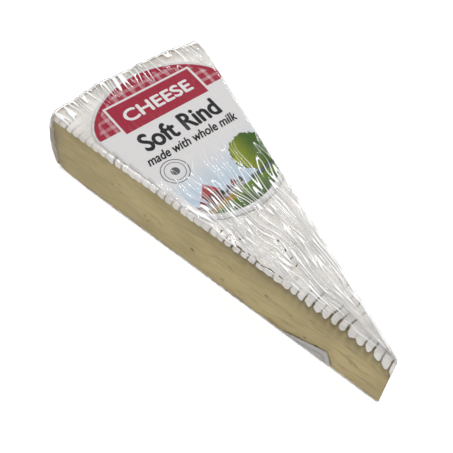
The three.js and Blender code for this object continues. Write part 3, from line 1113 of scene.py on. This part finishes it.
def film_material():
    """Clear film: it shows what is under it, shines at wrinkles and carries white lines along its creases as
    a painted highlight.
    """
    material, graph = new_material("Clear film")
    along, across, creased = (graph.value(name) for name in ("fan_along", "fan_across", "creased"))
    bend = graph.noise(graph.join(along * 0.04, across * 0.07), 1.0, 1.0)
    folds = graph.noise(graph.join(along * 0.022, across * 0.24 + bend * 2.2), 1.0, 0.0)
    contour = graph.math("PINGPONG", folds * 7.0, 0.5)
    patchy = graph.ramp(graph.noise(graph.join(along * 0.05, across * 0.12, 3.0), 1.0, 1.0), 0.24, 0.32)
    slackness = graph.either(graph.ramp(creased, 0.1, 0.9), 0.2)
    # Painted highlight: thin white lines along the creases, for the lamps' glints on the wrinkles.
    line = graph.ramp(contour / slackness, 0.19, 0.12) * patchy * graph.ramp(creased, 0.05, 0.30)
    ridge = graph.ramp(contour, 0.32, 0.0) * graph.ramp(creased, 0.0, 1.0, 0.03, 1.0)
    normal = graph.bump(ridge, 0.0002)

    fresnel = graph.add("ShaderNodeFresnel")
    fresnel.inputs["IOR"].default_value = 1.5
    graph.feed(fresnel.inputs["Normal"], normal)
    gloss = graph.add("ShaderNodeBsdfGlossy")
    gloss.inputs["Roughness"].default_value = 0.12
    graph.feed(gloss.inputs["Normal"], normal)
    front = 1.0 - graph.take(graph.add("ShaderNodeNewGeometry"), "Backfacing")
    see_through = graph.take(graph.add("ShaderNodeBsdfTransparent"))
    clear = graph.mix_shaders(graph.take(fresnel) * front, see_through, graph.take(gloss))
    # The white of the painted highlight lines.
    white = graph.principled((0.98, 0.98, 0.98), 0.25, normal)
    show(graph, graph.mix_shaders(line * front, clear, white))
    return material


# ---------------------------------------------------------------------------------------------------------
# The stage


def floor_material():
    material, graph = new_material("Pale floor")
    tone = graph.noise(graph.object_place(), 3.0, 2)
    base = graph.mix(graph.ramp(tone, 0.3, 0.7), (0.90, 0.90, 0.90), (0.92, 0.92, 0.92))
    show(graph, graph.principled(base, 0.9, Emission_Color=base, Emission_Strength=0.45))
    return material


def lay_floor():
    """The floor lies just under the object, so that the two faces don't share a level."""
    bm = bmesh.new()
    bmesh.ops.create_grid(bm, x_segments=8, y_segments=8, size=3.0)
    bmesh.ops.translate(bm, verts=bm.verts, vec=(0, 0, -FLOOR_DROP))
    floor = piece_from(bm, "floor")
    floor.data.materials.append(floor_material())
    floor.visible_glossy = False


def white_room(strength):
    """A world that is white behind the object and dimmer in reflections, so that the lights stand out."""
    world = bpy.data.worlds.new("White room")
    world.use_nodes = True
    graph = Graph(world.node_tree)
    background = world.node_tree.nodes["Background"]
    background.inputs["Color"].default_value = (1, 1, 1, 1)
    path = graph.add("ShaderNodeLightPath")
    lit = graph.ramp(graph.take(path, "Is Glossy Ray"), 0.0, 1.0, strength, strength * 0.28)
    graph.feed(background.inputs["Strength"], graph.either(lit, graph.take(path, "Is Camera Ray")))
    return world


def area_light(name, direction, distance, size, radiance, shines=True):
    """A rectangular light that faces the object. Its long side lies across its line of sight."""
    light = bpy.data.lights.new(name, "AREA")
    light.shape = "RECTANGLE"
    light.size, light.size_y = size
    light.energy = radiance * math.pi * size[0] * size[1]
    lamp = bpy.data.objects.new(name, light)
    bpy.context.scene.collection.objects.link(lamp)
    towards = Vector(direction).normalized()
    lamp.location = towards * distance
    lamp.rotation_euler = towards.to_track_quat("Z", "Y").to_euler()
    lamp.visible_glossy = shines


def set_camera(scene, settings):
    camera = bpy.data.cameras.new("Camera")
    camera.sensor_width = 36.0
    camera.lens = settings.lens
    camera.clip_start = 0.01
    viewer = bpy.data.objects.new("Camera", camera)
    scene.collection.objects.link(viewer)
    a, e = settings.azimuth, settings.elevation
    back = Vector((math.sin(a) * math.cos(e), -math.cos(a) * math.cos(e), math.sin(e)))
    level = Vector((math.cos(a), math.sin(a), 0))
    turned = Matrix.Rotation(settings.roll, 3, back)
    axes = Matrix((turned @ level, turned @ back.cross(level), back)).transposed()
    place = Vector(settings.target) + back * settings.distance
    viewer.matrix_world = Matrix.Translation(place) @ axes.to_4x4()
    scene.camera = viewer


# ---------------------------------------------------------------------------------------------------------
# Operators


class WEDGE_OT_cheese(bpy.types.Operator):
    """Make the cheese, with its rind, cut faces and rim"""
    bl_idname = "wedge.cheese"
    bl_label = "Cheese"

    def execute(self, context):
        settings = context.scene.wedge_cheese
        plan = Plan()
        skin, shoulder = settings.skin / MM, settings.shoulder / MM
        piece = wedge_skin("cheese", plan, skin, 0.5, shoulder, 2.5, settings.grid)
        shape_cheese(piece, plan, settings)
        finish_piece(piece, cheese_material(settings), "cheese", "cheese_wedge")
        return {"FINISHED"}


class WEDGE_OT_front_label(bpy.types.Operator):
    """Make the printed label on the upper rind and its lettering"""
    bl_idname = "wedge.front_label"
    bl_label = "Front label"

    def execute(self, context):
        settings = context.scene.wedge_label
        plan = Plan()
        level = plan.top + settings.lift / MM
        sheet = paper_sheet("label_front", plan, front_outline(settings), settings, level, -1)
        finish_piece(sheet, front_material(settings), "front_label", "front_label")
        white = ink_material("White ink", WHITE_PRINT)
        black = ink_material("Black ink", tuple(settings.black))
        printed = level + INK_LEVEL
        lettering("letters_subject", plan, settings.subject, (143.4, 2.0), (33.0, 6.6), printed, white, 0.25)
        lettering("letters_title", plan, settings.title, (128.0, 1.8), (37.5, 9.6), printed, black, 0.34)
        lettering("letters_note", plan, settings.note, (119.2, 1.6), (44.0, 4.6), printed, black, 0.13, 0.3)
        return {"FINISHED"}


class WEDGE_OT_base_label(bpy.types.Operator):
    """Make the plain label underneath, whose corner turns up over the near cut face"""
    bl_idname = "wedge.base_label"
    bl_label = "Base label"

    def execute(self, context):
        settings = context.scene.wedge_label
        plan = Plan()
        level = plan.bottom - settings.lift / MM
        sheet = paper_sheet("label_base", plan, base_outline(plan, settings), settings, level, 1)
        finish_piece(sheet, base_material(), "base_label", "base_label")
        return {"FINISHED"}


class WEDGE_OT_film(bpy.types.Operator):
    """Make the clear film round the wedge"""
    bl_idname = "wedge.film"
    bl_label = "Film"

    def execute(self, context):
        settings = context.scene.wedge_film
        shoulder = context.scene.wedge_cheese.shoulder / MM
        plan = Plan()
        piece = wedge_skin("film", plan, settings.offset / MM, 1.14, shoulder, 3.0, settings.grid)
        wrinkle_film(piece, plan, settings)
        finish_piece(piece, film_material(), "film", "wrap_film")
        return {"FINISHED"}


class WEDGE_OT_stage(bpy.types.Operator):
    """Make the floor, the white room, the lights and the camera"""
    bl_idname = "wedge.stage"
    bl_label = "Stage"

    def execute(self, context):
        settings = context.scene.wedge_stage
        lay_floor()
        context.scene.world = white_room(settings.sky)
        area_light("Soft key", (0.25, -0.25, 1.0), 0.9, (0.7, 0.7), 1.6, shines=False)
        area_light("Strip overhead", (-0.41, 0.02, 0.91), 0.8, (0.55, 0.025), 36.0)
        area_light("Strip behind", (-0.41, 0.68, 0.60), 0.8, (0.55, 0.025), 36.0)
        set_camera(context.scene, settings)
        context.scene.view_settings.view_transform = "Standard"
        return {"FINISHED"}


class WEDGE_PT_panel(bpy.types.Panel):
    """Lists the pieces and their settings"""
    bl_idname = "WEDGE_PT_panel"
    bl_label = "Cheese wedge"
    bl_space_type = "VIEW_3D"
    bl_region_type = "UI"
    bl_category = "Cheese wedge"

    def draw(self, context):
        for group, operators in PANEL_ROWS:
            box = self.layout.box()
            settings = getattr(context.scene, group)
            for key in settings.__annotations__:
                box.prop(settings, key)
            for operator in operators:
                box.operator(operator)


PANEL_ROWS = (
    ("wedge_cheese", ("wedge.cheese",)),
    ("wedge_label", ("wedge.front_label", "wedge.base_label")),
    ("wedge_film", ("wedge.film",)),
    ("wedge_stage", ("wedge.stage",)),
)
GROUPS = {
    "wedge_cheese": CheeseSettings,
    "wedge_label": LabelSettings,
    "wedge_film": FilmSettings,
    "wedge_stage": StageSettings,
}
CLASSES = (*GROUPS.values(), WEDGE_OT_cheese, WEDGE_OT_front_label, WEDGE_OT_base_label, WEDGE_OT_film,
           WEDGE_OT_stage, WEDGE_PT_panel)


def register():
    for cls in CLASSES:
        bpy.utils.register_class(cls)
    for name, group in GROUPS.items():
        setattr(bpy.types.Scene, name, PointerProperty(type=group))


def unregister():
    for name in GROUPS:
        delattr(bpy.types.Scene, name)
    for cls in reversed(CLASSES):
        bpy.utils.unregister_class(cls)


def main():
    register()
    bpy.ops.wedge.stage()
    bpy.ops.wedge.cheese()
    bpy.ops.wedge.front_label()
    bpy.ops.wedge.base_label()
    bpy.ops.wedge.film()


if __name__ == "__main__":
    main()
